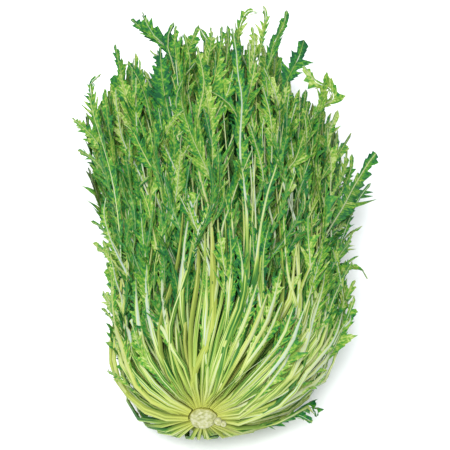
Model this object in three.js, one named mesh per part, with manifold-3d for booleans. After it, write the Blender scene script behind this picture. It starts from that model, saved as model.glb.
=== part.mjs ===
// A bunch of mizuna: one whole plant, cut off at the root and lying on its side.
// A short crown carries seven rings of leafy shoots. Each shoot is two or three leaves
// that grow together at the foot: a slender stalk that splays out of the crown, turns
// forward and becomes the rib of a blade with pointed lobes.
// Every ring has a shell of its own, nested like bowls, so no leaf crosses another.
// Millimetres. +Y runs from the root end to the leaf tips, +Z is up, the table is Z = 0.
import * as THREE from "three";
import { mergeVertices } from "three/addons/utils/BufferGeometryUtils.js";
import Module from "manifold-3d";

// The whole bunch.
const HALF_WIDTH = 77; // where the stalks have turned forward
const RISE = 60; // above its middle level
const DROP = 43; // below it, down to the table
const BOWL_DEPTH = 70; // the stalks splay and turn forward over this depth
const BRUSH_LENGTH = 310; // from there to the furthest leaf tips
const FLARE = 0.3; // how much wider the leafy end is
const FLARE_END = 0.8; // of the brush, where it is widest
const SAG = 0.2; // how much lower its top lies at the tips
const UNDERSIDE = 2.2; // 1 is a round underside, more is a flatter one
const PRESS = 1; // the lowest stalks are flattened this much by the weight

// The crown that all shoots grow from, and how it lies.
const ROOT_RADIUS = 9.5;
const ROOT_STUB = 5; // cut end that stands out behind the outermost stalks
const SIDE_BUDS = [
  { x: 10.6, along: -5.6, up: -0.6, radius: 2.8 },
  { x: 14.2, along: -6.2, up: -2.2, radius: 2.2 },
];
const HEART_RADIUS = 2.4; // radius left for the crown at the innermost ring
const CROWN_LENGTH = 31; // from the outermost ring to the crown's top
const HEART_LENGTH = 4; // of that, above the innermost shoots
const CROWN_LIFT = 17; // above the bunch's middle level
const LIFT_REACH = 60; // the lift fades out over this length
const CROWN_LEAN = Math.tan(THREE.MathUtils.degToRad(14)); // cut face tips up
const BACK_BULGE = Math.tan(THREE.MathUtils.degToRad(28)); // low stalks bulge back
const BULGE_MIDDLE = -4; // they bulge most here, across the bunch
const BULGE_WIDTH = 80; // and no more so far to either side
const LEAN_REACH = 95; // the lean fades out over this length
const BOW = 16; // the bunch bows this far to its right
const BOW_REACH = 140; // all of it so far along the stalks
const BOW_EASE = 0.6; // and this share of the bow is lost again
const EASE_RANGE = [0.1, 0.7]; // between these parts of the brush
const TOUCH_GAP = 0.4; // between pieces that touch

// How the leaves of a ring run together, all angles round the bunch.
const SWAY = 0.025; // they sway sideways by this angle
const SWAY_LENGTH = 38; // along the leaf, for one radian of the sway
const SWAY_STEP = 17; // difference between the sways of two rings
const CLUMPING = 0.05; // angle by which they draw together
const CLUMPS = 3; // in so many clumps round the bunch
const CLUMP_STEP = 9; // difference between the clumps of two rings
const LAYER = 0.13; // difference in share between one ring and the next
const LAYER_PART = 0.25; // of it lies between a ring's middle and either of its layers
const LAYER_START = 40; // along the stalk, where the two layers begin to part
const FAN_OUT = 60; // they part from their shoot over this length

// Rings of shoots, from the outside in. share is the ring's size against the bunch,
// reach is the distance from the root that its shortest and longest leaves end at.
const RINGS = [
  { shoots: 10, leaves: 3, share: 1.0, reach: [235, 325], lobes: 5, turn: 0.0 },
  { shoots: 10, leaves: 3, share: 0.87, reach: [265, 338], lobes: 5, turn: 0.2 },
  { shoots: 8, leaves: 3, share: 0.74, reach: [290, 350], lobes: 5, turn: -0.16 },
  { shoots: 8, leaves: 3, share: 0.61, reach: [310, 360], lobes: 4, turn: 0.18 },
  { shoots: 6, leaves: 3, share: 0.48, reach: [320, 368], lobes: 4, turn: -0.2 },
  { shoots: 6, leaves: 2, share: 0.35, reach: [325, 372], lobes: 4, turn: 0.22 },
  { shoots: 4, leaves: 2, share: 0.21, reach: [330, 372], lobes: 4, turn: -0.2 },
];

// The leaf tips keep inside an arc: this far from the root in the arc's middle, and
// so much less at its ends. A tip that lies higher keeps so much nearer to the root.
const ARC_LENGTH = 378;
const ARC_DROP = 123;
const ARC_CURVE = 3;
const ARC_MIDDLE = -12;
const ARC_HALF_WIDTH = 101;
const ARC_TILT = 0.7;

// Leaves of the outermost ring that stand out: how far their tips are away from the
// bunch, as a share of its size, and how far from the root they end.
const STRAYS = new Map([
  [1, { away: 0.3, reach: 252 }],
  [3, { away: 0.05, reach: 312 }],
  [5, { away: 0.06, reach: 318 }],
  [6, { away: 0, reach: 330 }],
  [7, { away: 0.42, reach: 305 }],
  [8, { away: 0, reach: 318 }],
  [9, { away: 0.05, reach: 322 }],
  [10, { away: 0, reach: 322 }],
  [11, { away: 0.06, reach: 318 }],
  [13, { away: 0.04, reach: 305 }],
  [15, { away: 0.09, reach: 262 }],
  [17, { away: 0.04, reach: 236 }],
  [29, { away: 0.16, reach: 222 }],
]);
const STRAY_START = 130; // they leave the bunch from this distance along the stalk
const STRAY_CURVE = 1.5; // 1 would be straight

// One leaf.
const FOOT_HALF_WIDTH = 1.1;
const FOOT_STEP = 1.3; // between the feet of the leaves in one shoot
const STALK_HALF_WIDTH = 1.75;
const STALK_GROWN = 40; // along the stalk, where it has that width
const STALK_DEPTH = 2.5; // from its inner face to the keel on its back
const TIP_DEPTH = 1.1; // the same at the last lobes
const RIB_HALF_WIDTH = 2.6; // of the blade between two lobes
const RIB_NARROWS = 0.6; // from this part of the leaf on
const LOBE_REACH = 15; // longest lobe, from the rib's middle
const REACH_SPREAD = [0.8, 1.1]; // of the leaves, times that
const INNER_REACH = 0.7; // of the innermost leaves, times that
const LEAST_REACH = 1.2; // of the shortest lobe, from the rib's edge
const BLADE_BELL = 0.8; // 1 would narrow both its ends alike
const LOBE_SPREAD = [0.8, 1.2]; // of the lobes of one leaf
const LOBE_THICKNESS = 0.7;
const LOBE_SWEEP = 0.35; // lobes lean forward by this share of their spacing
const SWEEP_SPREAD = [0.6, 1.4]; // times that
const LOBE_MIDDLE = 0.7; // of the way from one station to the next
const TIP_LENGTH = 16; // the pointed end beyond the last lobes
const CUP = 0.014; // lobe tips curl towards the heart by this share of the bunch
const PLACE_SPREAD = 0.3; // leaves stand off their even places, of the angle between two
const ROOM = 0.8; // of the angle to the next leaf, as far as a lobe may reach
const STEEPEST = 0.165; // slope of a lobe that follows a tight bend of its shell
const BLADE_START = [0.42, 0.56]; // of the leaf's length

const SEED = 7;
const QUARTER = Math.PI / 2;
const BOWL_PATH = BOWL_DEPTH * QUARTER; // stalk length inside the bowl
const BOWL_STEPS = 4; // straight pieces of a stalk inside the bowl
const CROWN_SIDES = 20;
const BUD_SIDES = [12, 8];
const TABLE_SIZE = [600, 900, 100];
const LEAF_GREEN = 0x4f8f2b;
const CROWN_CREAM = 0xd9d9a4;

const wasm = await Module();
wasm.setup();

const mix = THREE.MathUtils.lerp;
const smooth = (t) => THREE.MathUtils.smoothstep(t, 0, 1);

// A repeatable random number from 0 to 1 for one trait of one leaf.
function chance(leaf, trait) {
  const wave = Math.sin(leaf * 12.9898 + trait * 78.233 + SEED) * 43758.5453;
  return wave - Math.floor(wave);
}

// Settles a point given round the crown's axis: the crown stands above the middle
// level, its cut face tips up, and the stalks below it bulge back.
function settle(x, along, up) {
  const lift = CROWN_LIFT * (1 - smooth(along / LIFT_REACH));
  const below = Math.max(0, -up - ROOT_RADIUS - STALK_DEPTH);
  const bulge = BACK_BULGE * (1 - smooth(Math.abs(x - BULGE_MIDDLE) / BULGE_WIDTH));
  const lean = (CROWN_LEAN * up - bulge * below) * (1 - smooth(along / LEAN_REACH));
  return new THREE.Vector3(x, along + lean, up + lift);
}

// Where a shell meets the crown: inner shells are narrower and further along.
const rootRadius = (share) => mix(HEART_RADIUS, ROOT_RADIUS + TOUCH_GAP, share);
const rootAlong = (share) => (CROWN_LENGTH - HEART_LENGTH) * (1 - share);

// The point at distance s along a stalk, at angle phi round the bunch (0 is to the
// right, a quarter turn is up), in the shell whose size is share.
function spot(s, phi, share) {
  const turn = Math.min(s / BOWL_DEPTH, QUARTER);
  const spread = Math.sin(turn);
  const beyond = Math.max(0, s - BOWL_PATH);
  const far = beyond / BRUSH_LENGTH;
  const start = rootAlong(share);
  const along = start + (BOWL_DEPTH - start) * (1 - Math.cos(turn)) + beyond;
  const foot = rootRadius(share);
  const flare = 1 + FLARE * smooth(far / FLARE_END);
  const wide = mix(foot, share * HALF_WIDTH * flare, spread);
  const eased = THREE.MathUtils.smoothstep(far, ...EASE_RANGE);
  const bow = BOW * smooth(s / BOW_REACH) * (1 - BOW_EASE * eased);
  const x = Math.cos(phi) * wide + bow;
  const lean = Math.sin(phi);
  if (lean >= 0) {
    const rise = share * RISE * (1 - SAG * far);
    return settle(x, along, lean * mix(foot, rise, spread));
  }
  const flat = 1 - (1 + lean) ** UNDERSIDE; // the side on the table is flatter
  return settle(x, along, -mix(-lean * foot, flat * share * DROP, spread));
}

// The spot with its directions: forward along the stalk, round the bunch, outward.
function frameAt(s, phi, share) {
  const step = 0.5;
  const forward = spot(s + step, phi, share).sub(spot(s - step, phi, share));
  const turn = 0.01;
  const round = spot(s, phi + turn, share).sub(spot(s, phi - turn, share));
  const perRadian = round.length() / (2 * turn);
  const outward = forward.clone().cross(round).normalize();
  const across = outward.clone().cross(forward).normalize();
  return { at: spot(s, phi, share), across, outward, perRadian };
}

// A closed surface, gathered point by point.
class Skin {
  points = [];
  faces = [];
  point(v) {
    this.points.push(v.x, v.y, v.z);
    return this.points.length / 3 - 1;
  }
  face(...corners) {
    for (let i = 2; i < corners.length; i += 1) {
      this.faces.push(corners[0], corners[i - 1], corners[i]);
    }
  }
  geometry() {
    const made = new THREE.BufferGeometry();
    made.setAttribute("position", new THREE.Float32BufferAttribute(this.points, 3));
    return made.setIndex(this.faces);
  }
}

// The line that a leaf follows: its angle and its shell at distance s. Neighbours in
// a ring part into an inner and an outer layer before their blades begin.
function leafLine(leaf, s) {
  const { share, turn } = leaf.ring;
  const fanned = smooth(s / FAN_OUT);
  const clump = CLUMPING * Math.sin(CLUMPS * leaf.phi + share * CLUMP_STEP);
  const sway = SWAY * Math.sin(s / SWAY_LENGTH + share * SWAY_STEP);
  const phi =
    mix(leaf.footPhi, leaf.phi, fanned) +
    turn * smooth(s / (BOWL_PATH + BRUSH_LENGTH)) +
    clump * fanned +
    sway * smooth(s / FAN_OUT - 1);
  const parted = THREE.MathUtils.smoothstep(s, LAYER_START, BOWL_PATH);
  const apart = leaf.side * LAYER * LAYER_PART * parted;
  const outside = Math.max(0, (s - STRAY_START) / (leaf.length - STRAY_START));
  return { phi, share: share + apart + leaf.away * outside ** STRAY_CURVE };
}

// How far the lobes reach from the rib, at a part of the blade from 0 to 1.
function lobeReach(leaf, part) {
  const bell = Math.sin(Math.PI * part ** BLADE_BELL) ** BLADE_BELL;
  return mix(RIB_HALF_WIDTH + LEAST_REACH, leaf.lobeReach, bell);
}

// The lobe on one side of the rib, between two stations: hand is -1 or 1.
function addLobe(skin, leaf, near, next, hand, part, index) {
  const gap = next.s - near.s;
  const jitter = chance(leaf.number, 20 + index * 2 + hand);
  const s = next.s + gap * LOBE_SWEEP * mix(...SWEEP_SPREAD, jitter);
  const reach = lobeReach(leaf, part) * mix(...LOBE_SPREAD, jitter);
  const line = leafLine(leaf, s);
  const middle = frameAt(s, line.phi, line.share);
  const angle = Math.min(reach / middle.perRadian, leaf.room);
  const tip = spot(s, line.phi + hand * angle, line.share - CUP * jitter);
  const drop = -tip.clone().sub(middle.at).dot(middle.outward);
  const tooFar = drop - STEEPEST * angle * middle.perRadian;
  tip.addScaledVector(middle.outward, Math.max(0, tooFar));
  const a = skin.point(tip);
  const b = skin.point(tip.clone().addScaledVector(middle.outward, LOBE_THICKNESS));
  if (hand > 0) {
    skin.face(next.right, near.right, a);
    skin.face(near.right, near.keel, b);
    skin.face(near.keel, next.keel, b);
    skin.face(next.keel, next.right, b);
    skin.face(a, near.right, b);
    skin.face(next.right, a, b);
  } else {
    skin.face(near.left, next.left, a);
    skin.face(near.keel, near.left, b);
    skin.face(near.keel, b, next.keel);
    skin.face(next.keel, b, next.left);
    skin.face(near.left, a, b);
    skin.face(a, next.left, b);
  }
}

// One leaf: a three-sided stalk, flat inside and keeled outside, whose edges carry
// the lobes from where the blade begins.
function leafSkin(leaf) {
  const skin = new Skin();
  const stops = [];
  for (let i = 0; i <= BOWL_STEPS; i += 1) {
    stops.push({ s: (BOWL_PATH * i) / BOWL_STEPS, blade: false });
  }
  stops.push({ s: mix(BOWL_PATH, leaf.bladeStart, 0.5), blade: false });
  const count = leaf.ring.lobes;
  for (let i = 0; i <= count; i += 1) {
    stops.push({ s: mix(leaf.bladeStart, leaf.bladeEnd, i / count), blade: true });
  }
  for (const stop of stops) {
    const { phi, share } = leafLine(leaf, stop.s);
    const frame = frameAt(stop.s, phi, share);
    const part = stop.s / leaf.bladeEnd;
    const width = stop.blade
      ? mix(RIB_HALF_WIDTH, STALK_HALF_WIDTH, smooth((part - RIB_NARROWS) / (1 - RIB_NARROWS)))
      : mix(FOOT_HALF_WIDTH, STALK_HALF_WIDTH, smooth(stop.s / STALK_GROWN));
    const depth = mix(STALK_DEPTH, TIP_DEPTH, smooth(part));
    stop.left = skin.point(frame.at.clone().addScaledVector(frame.across, -width));
    stop.right = skin.point(frame.at.clone().addScaledVector(frame.across, width));
    stop.keel = skin.point(frame.at.clone().addScaledVector(frame.outward, depth));
  }
  skin.face(stops[0].left, stops[0].keel, stops[0].right);
  for (let i = 1; i < stops.length; i += 1) {
    const near = stops[i - 1];
    const next = stops[i];
    skin.face(near.left, near.right, next.right, next.left);
    if (near.blade) {
      const part = (i - (stops.length - count) + LOBE_MIDDLE) / count;
      addLobe(skin, leaf, near, next, 1, part, i);
      addLobe(skin, leaf, near, next, -1, part, i);
    } else {
      skin.face(near.right, near.keel, next.keel, next.right);
      skin.face(near.keel, near.left, next.left, next.keel);
    }
  }
  const last = stops[stops.length - 1];
  const end = leafLine(leaf, leaf.bladeEnd + TIP_LENGTH);
  const tip = skin.point(spot(leaf.bladeEnd + TIP_LENGTH, end.phi, end.share));
  skin.face(last.left, last.right, tip);
  skin.face(last.right, last.keel, tip);
  skin.face(last.keel, last.left, tip);
  return skin.geometry();
}

// How far from the root the arc of tips is at an angle round the bunch.
function arcAt(phi, share) {
  const x = Math.cos(phi) * share * HALF_WIDTH * (1 + FLARE) + BOW * (1 - BOW_EASE);
  const lean = Math.sin(phi);
  const up = lean * share * (lean > 0 ? RISE * (1 - SAG) : DROP);
  const aside = Math.min(1, Math.abs(x - ARC_MIDDLE) / ARC_HALF_WIDTH);
  return ARC_LENGTH - ARC_DROP * aside ** ARC_CURVE - ARC_TILT * up;
}

// The traits of leaf number k of a shoot, out of all the leaves of its ring.
function planLeaf(ring, shoot, k, number) {
  const pitch = (2 * Math.PI) / (ring.shoots * ring.leaves);
  const place = shoot * ring.leaves + k;
  const fromMiddle = k - (ring.leaves - 1) / 2;
  const footStep = FOOT_STEP / rootRadius(ring.share);
  const phi = (place + PLACE_SPREAD * (chance(number, 2) - 0.5)) * pitch;
  const stray = STRAYS.get(number);
  const drawn = mix(...ring.reach, chance(number, 1));
  const tipAt = stray ? stray.reach : Math.min(drawn, arcAt(phi + ring.turn, ring.share));
  const length = tipAt - BOWL_DEPTH + BOWL_PATH;
  const inner = mix(INNER_REACH, 1, ring.share);
  return {
    ring,
    number,
    side: place % 2 ? 1 : -1,
    away: stray ? stray.away : 0,
    length,
    phi,
    footPhi: (place - fromMiddle) * pitch + fromMiddle * footStep,
    room: pitch * ROOM,
    bladeStart: length * mix(...BLADE_START, chance(number, 3)),
    bladeEnd: length - TIP_LENGTH,
    lobeReach: LOBE_REACH * mix(...REACH_SPREAD, chance(number, 4)) * inner,
  };
}

// A three.js geometry as a solid that can be joined and cut.
function solidOf(geometry) {
  const bare = geometry.index ? geometry.toNonIndexed() : geometry.clone();
  for (const name of Object.keys(bare.attributes)) {
    if (name !== "position") bare.deleteAttribute(name);
  }
  const merged = mergeVertices(bare, 1e-4);
  return new wasm.Manifold(
    new wasm.Mesh({
      numProp: 3,
      vertProperties: merged.attributes.position.array,
      triVerts: new Uint32Array(merged.index.array),
    }),
  );
}

function geometryOf(solid) {
  const mesh = solid.getMesh();
  const made = new THREE.BufferGeometry();
  made.setAttribute("position", new THREE.BufferAttribute(mesh.vertProperties, 3));
  made.setIndex(new THREE.BufferAttribute(mesh.triVerts, 1));
  return made;
}

function namedMesh(name, solid, material) {
  const mesh = new THREE.Mesh(geometryOf(solid), material);
  mesh.name = name;
  return mesh;
}

// The crown: a lathed stub with a cut end, tapering inside the rings of shoots.
function crownSolid() {
  const profile = [
    [0, -ROOT_STUB - 0.8],
    [ROOT_RADIUS * 0.72, -ROOT_STUB - 0.3],
    [ROOT_RADIUS, -ROOT_STUB + 1.2],
    [ROOT_RADIUS - 0.8, -1],
    [rootRadius(0.9) - 1.5, 1],
    [rootRadius(0.5) - 1, rootAlong(0.5) - 2],
    [rootRadius(0.2) - 1.2, rootAlong(0.2)],
    [0, CROWN_LENGTH],
  ].map(([radius, along]) => new THREE.Vector2(Math.max(radius, 0), along));
  const lathe = new THREE.LatheGeometry(profile, CROWN_SIDES);
  const place = lathe.attributes.position;
  for (let i = 0; i < place.count; i += 1) {
    const seat = settle(place.getX(i), place.getY(i), place.getZ(i));
    place.setXYZ(i, seat.x, seat.y, seat.z);
  }
  let crown = solidOf(lathe);
  for (const bud of SIDE_BUDS) {
    const ball = new THREE.SphereGeometry(bud.radius, ...BUD_SIDES);
    const seat = settle(bud.x, bud.along, bud.up);
    ball.translate(seat.x, seat.y, seat.z);
    crown = crown.add(solidOf(ball));
  }
  return crown;
}

// The table presses the lowest stalks flat.
const tableTop = -DROP * (1 + LAYER * LAYER_PART) - PRESS;
const slab = new THREE.BoxGeometry(...TABLE_SIZE);
slab.translate(0, BRUSH_LENGTH / 2, tableTop - TABLE_SIZE[2] / 2);
const table = solidOf(slab);

const leafGreen = new THREE.MeshStandardMaterial({
  color: LEAF_GREEN,
  roughness: 0.55,
  metalness: 0,
});
const crownCream = new THREE.MeshStandardMaterial({
  color: CROWN_CREAM,
  roughness: 0.7,
  metalness: 0,
});

const bunch = new THREE.Group();
bunch.add(namedMesh("crown", crownSolid(), crownCream));
let number = 0;
RINGS.forEach((ring, level) => {
  for (let shoot = 0; shoot < ring.shoots; shoot += 1) {
    let grown = null;
    for (let k = 0; k < ring.leaves; k += 1) {
      const leaf = solidOf(leafSkin(planLeaf(ring, shoot, k, number)));
      grown = grown ? grown.add(leaf) : leaf;
      number += 1;
    }
    const name = `ring${level + 1}_shoot${String(shoot + 1).padStart(2, "0")}`;
    bunch.add(namedMesh(name, grown.subtract(table), leafGreen));
  }
});

// The origin is under the middle of the bunch, on the table.
const box = new THREE.Box3().setFromObject(bunch);
const centre = box.getCenter(new THREE.Vector3());
bunch.position.set(-centre.x, -centre.y, -box.min.z);

const part = new THREE.Group();
part.add(bunch);
export default part;
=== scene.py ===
"""A bunch of mizuna lying on its side, dressed for its photograph.

Every leafy shoot of the solids is replaced by a finer one that follows the same
lines: ridged stalks that become pale ribs, with thin toothed and waved blades.
Shapes are worked out in millimetres and become metres when their mesh is made.
"""

import math
from types import SimpleNamespace

import bpy
import numpy as np
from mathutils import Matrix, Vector, noise


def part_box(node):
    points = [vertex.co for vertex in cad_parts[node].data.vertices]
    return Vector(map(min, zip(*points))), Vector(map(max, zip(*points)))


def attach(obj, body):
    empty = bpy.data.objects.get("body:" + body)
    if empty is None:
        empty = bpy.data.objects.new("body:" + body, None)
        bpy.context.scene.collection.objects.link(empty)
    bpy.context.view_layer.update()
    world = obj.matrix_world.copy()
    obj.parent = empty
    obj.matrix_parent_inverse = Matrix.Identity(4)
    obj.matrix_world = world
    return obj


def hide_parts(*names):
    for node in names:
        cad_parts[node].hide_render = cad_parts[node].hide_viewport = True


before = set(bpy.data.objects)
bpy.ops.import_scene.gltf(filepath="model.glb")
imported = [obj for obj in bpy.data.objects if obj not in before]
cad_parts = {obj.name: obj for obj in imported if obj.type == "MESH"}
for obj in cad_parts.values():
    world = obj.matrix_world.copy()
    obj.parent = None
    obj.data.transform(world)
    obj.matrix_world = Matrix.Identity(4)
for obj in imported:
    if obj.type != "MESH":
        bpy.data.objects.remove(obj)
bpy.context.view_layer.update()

# The bunch, with the same values as its solids.
HALF_WIDTH = 77.0
RISE = 60.0
DROP = 43.0
BOWL_DEPTH = 70.0
BRUSH_LENGTH = 310.0
FLARE = 0.3
FLARE_END = 0.8
SAG = 0.2
UNDERSIDE = 2.2
PRESS = 1.0
ROOT_RADIUS = 9.5
ROOT_STUB = 5.0
SIDE_BUDS = [(10.6, -5.6, -0.6, 2.8), (14.2, -6.2, -2.2, 2.2)]
HEART_RADIUS = 2.4
CROWN_LENGTH = 31.0
HEART_LENGTH = 4.0
CROWN_LIFT = 17.0
LIFT_REACH = 60.0
CROWN_LEAN = math.tan(math.radians(14))
BACK_BULGE = math.tan(math.radians(28))
BULGE_MIDDLE = -4.0
BULGE_WIDTH = 80.0
LEAN_REACH = 95.0
BOW = 16.0
BOW_REACH = 140.0
BOW_EASE = 0.6
EASE_RANGE = (0.1, 0.7)
TOUCH_GAP = 0.4
SWAY = 0.025
SWAY_LENGTH = 38.0
SWAY_STEP = 17.0
CLUMPING = 0.05
CLUMPS = 3
CLUMP_STEP = 9.0
LAYER = 0.13
LAYER_PART = 0.25
LAYER_START = 40.0
FAN_OUT = 60.0
SEED = 7
QUARTER = math.pi / 2
BOWL_PATH = BOWL_DEPTH * QUARTER

# Rings of shoots: shoots, leaves in each, share of the bunch's size, shortest and
# longest reach, turn round the bunch.
RINGS = [
    SimpleNamespace(shoots=10, leaves=3, share=1.0, reach=(235, 325), turn=0.0),
    SimpleNamespace(shoots=10, leaves=3, share=0.87, reach=(265, 338), turn=0.2),
    SimpleNamespace(shoots=8, leaves=3, share=0.74, reach=(290, 350), turn=-0.16),
    SimpleNamespace(shoots=8, leaves=3, share=0.61, reach=(310, 360), turn=0.18),
    SimpleNamespace(shoots=6, leaves=3, share=0.48, reach=(320, 368), turn=-0.2),
    SimpleNamespace(shoots=6, leaves=2, share=0.35, reach=(325, 372), turn=0.22),
    SimpleNamespace(shoots=4, leaves=2, share=0.21, reach=(330, 372), turn=-0.2),
]
ARC_LENGTH = 378.0
ARC_DROP = 123.0
ARC_CURVE = 3.0
ARC_MIDDLE = -12.0
ARC_HALF_WIDTH = 101.0
ARC_TILT = 0.7
# Leaves that stand out of the bunch: how far, and their reach.
STRAYS = {
    1: (0.3, 252), 3: (0.05, 312), 5: (0.06, 318), 6: (0, 330), 7: (0.42, 305),
    8: (0, 318), 9: (0.05, 322), 10: (0, 322), 11: (0.06, 318), 13: (0.04, 305),
    15: (0.09, 262), 17: (0.04, 236), 29: (0.16, 222),
}
STRAY_START = 130.0
STRAY_CURVE = 1.5
FOOT_HALF_WIDTH = 1.1
FOOT_STEP = 1.3
STALK_HALF_WIDTH = 1.75
STALK_DEPTH = 2.5
PLACE_SPREAD = 0.3
LOBE_REACH = 15.0
BLADE_START = (0.42, 0.56)

# Finer than the solids.
BLADE_THICKNESS = 0.4
TIP_DEPTH = 0.7
SPINE_STEP = 1.5
TUBE_SIDES = 8
# How far the solids' crown reaches behind the root's origin.
CUT_DIP = 7.005
# Kinds of leaves: their part of all leaves, and their lobes.
LEAF_KINDS = [
    SimpleNamespace(part=0.35, reach=0.55, sinus=(0.4, 0.65), pitch=(9, 15), sweep=(1.4, 2.4)),
    SimpleNamespace(part=0.35, reach=0.85, sinus=(0.12, 0.36), pitch=(10, 16), sweep=(1.4, 2.6)),
    SimpleNamespace(part=0.3, reach=0.75, sinus=(0.28, 0.5), pitch=(6, 9), sweep=(1.0, 1.8)),
]
KIND_ENDS = np.cumsum([kind.part for kind in LEAF_KINDS[:-1]])
BLADE_EARLIER = 0.82
# The outline of a lobe: how far along it, and how far out.
LOBE_SHAPE = [
    (0.0, 0.0), (0.15, 0.4), (0.24, 0.22), (0.4, 0.72), (0.47, 0.5), (0.6, 0.78),
    (0.68, 1.0), (0.78, 0.42), (0.9, 0.1),
]
# The same for leaves that lie deep in the bunch or under it.
PLAIN_LOBE = [(0.0, 0.0), (0.2, 0.3), (0.42, 0.65), (0.68, 1.0), (0.86, 0.2)]
FINE_LOBE = 11.0
PLAIN_ROWS = 16
STALK_ROWS = 26
# How centre lines bend past a part of the bowl, nod up and down, curl and twist.
TURN_STEP = 0.01
BENDS_FROM = 0.8
BENDS_GROW = 90
NOD = 3
NOD_LENGTH = 31
CURL_FROM = 0.6
TWIST_PACE = 1.4
# How traced lines rise from the shells, and how far apart their hidden points are.
RAISE_CURVE = 1.5
HIDDEN_STEP = 10.0
HIDDEN_GAP = 8
SURFACING = 40
# Widths of stalks from foot to tip, and their ridges, whose grooves are darkened as painted shade.
FOOT_LENGTH = 40
RIB_FROM = 90.0
RIB_WIDTH = 0.45
RIB_PACE = 3.5
TIP_WIDTH = 0.3
DEPTH_PACE = 1.2
RIDGES = 5
RIDGE_HEIGHT = 0.08
GROOVE_SHADE = 0.3
BACK_DEPTH = 0.2
PALE_FROM = 0.6
TIP_PALE = 0.8
RIB_TONES = (0.7, 2.1)
# Lobes and leaflets: how many, how wide, and how far they reach.
FEWEST_LOBES = 4
LEAFLET_CHANCE = 0.5
LOBE_WIDTHS = (0.4, 1.6)
LOBE_LUCK = (0.4, 1.3)
LEAST_REACH = 0.8
LEAFLET_REACH = (1, 9)
BELL_LEAN = 0.95
TIP_SINUS = 0.75
TIP_REACH = 0.2
VEINED_REACH = 5
# The sheets of blades: how they leave the rib, sweep forward and wave.
BLADE_COLUMNS = (0.0, 0.55, 1.0)
RIB_PART = 0.5
SEAT_HEIGHT = 0.25
SWEEP_ROOM = 0.35
SWEEP_CURVE = 1.2
WAVE_CURVE = 1.6
WAVE_LENGTH = 6.5
SLOW_WAVE_LENGTH = 15
LOBE_LIFT = 7
# How much a blade's tone varies at random from lobe to lobe, and how strong its painted light and shade
# along its waves are.
TONE_AND_SHADE_SPREAD = 0.5
EDGE_PALE = 0.35
PALE_WIDTH = 1.4
VEIN_PALE = (0.1, 0.5)
VEIN_FADE = 0.4
# The crown and its buds.
CUT_BULGE = 0.8
CROWN_SIDES = 72
CROWN_LOBES = ((0.04, 3, 1), (0.025, 7, 0))
CROWN_BUMPS = ((2.6, 0.45), (1.1, 0.15))
BUD_BUMPS = (0.7, 0.18)
BUD_ROWS = 16
# Leaves under this lean, and inside this share of the bunch, are plainer.
UNDER = -0.35
INNER_SHARE = 0.65
# What each point of a piece carries for its colour, painted shade among it.
TRAITS = ("pale", "tone", "stripe", "depth", "warm")
# How leaves bend, twist, curl and are coloured: the number of each trait's random
# draw, and its range.
CHARACTER = {
    "slope": (30, 0.15, 0.55),
    "drift": (31, -0.6, 0.6),
    "edge": (29, 0.86, 1.05),
    "bend_length": (32, 38, 75),
    "bend_phase": (33, 0, 6.28),
    "curl": (34, -6, 12),
    "twist": (35, -0.9, 0.9),
    "fold": (36, -0.7, 0.5),
    "ripple": (37, 1.0, 2.8),
    "tone": (38, 0, 1),
}
VEIN_RARITY = 4
LEAFLETS = (0.3, 0.8)
TRACED_LEAFLETS = (0.5, 0.9)
INNER_LEAFLETS = 0.9
UNEVEN = (-0.25, 0.25)
RAISED = (0.02, 0.1)
# Leaves under the bunch and inside it have fewer lobes, and inside it shorter blades.
UNDER_PITCH = 1.5
INNER_PITCH = 1.2
INNER_START = (0.5, 0.62)
# The slighter leaves between those of the solids, by comparison with them.
FIRST_EXTRA = 1000
EXTRA_TURN = (0.2, 0.8)
EXTRA_FOOT_TURN = (0.3, 0.7)
EXTRA_SHARE = (0.9, 1.0)
EXTRA_LENGTH = (0.68, 1.0)
EXTRA_START = (0.3, 0.52)
EXTRA_REACH = (0.55, 0.95)
EXTRA_WIDTH = (0.6, 0.95)
# Short leaves among the stalks: all over, and more at the left and at the right.
SPRAYS = [
    SimpleNamespace(count=135, sides=(-0.85, 1.0), lengths=(115, 300)),
    SimpleNamespace(count=60, sides=(0.12, 0.8), lengths=(125, 215)),
    SimpleNamespace(count=35, sides=(-0.85, -0.3), lengths=(140, 230)),
]
FIRST_SPRAY = 4000
SPRAY_SPREAD = 1.75
SPRAY_SHARES = (0.84, 0.99, 1.08)
SPRAY_CROWDING = 0.85
SPRAY_RISES = 1.5
SPRAY_BLADE = (30, 75)
SPRAY_REACH = (4, 8)
SPRAY_WIDTH = 0.6
SPRAY_PITCH = 0.65
LEAST_PITCH = 5
SPRAY_DARKER = 0.4
# Leaves that follow the photograph.
FIRST_TRACED = 5000
TRACED_SHARE = 1.06
TRACED_REACH = 8
TRACED_TWIST = 0.5
HIDDEN_SHARE = 0.8
TRACED_FACING = 0.7
# Slighter leaves that come out over the outermost ring.
OVER_CHANCE = 0.6
OVER_SHARES = (0.93, 1.0, 1.09)
OVER_STARTS = (125, 175)
RISE_LENGTH = 60.0
# How far leaves swerve, and how they keep to the bunch's width.
EDGE_ROOM = 8.0
SWERVE = 42.0
TIP_SLENDER = 0.24
SHARP_ANGLE = math.radians(65)
WARM_FOOT = 26.0
GOLD_RANGE = (-0.8, 0.65)
DARK_LEAVES = {41: -0.8, 2007: -0.4}
# Cells of the streaked colour to a millimetre along and across, or to a radian.
BLADE_GRAIN = (0.5, 0.12)
STALK_GRAIN = (0.025, 2.1)
# How softly leaves press on the floor, and how deep in the bunch their colour is darkened as painted
# shade.
PRESSED = 3.0
DEEP_SHARE = 0.5
TIP_COVER = 0.9
COVER_STARTS = 195.0
COVER_ENDS = 330.0

# The photograph's view.
CAMERA_ELEVATION = math.radians(55)
CAMERA_DISTANCE = 1600.0
PHOTO_PIXELS = 450
MM_PER_PIXEL = 0.753
AIM_FROM_CROWN = (15.35, 179.2, -17.4)
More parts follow.
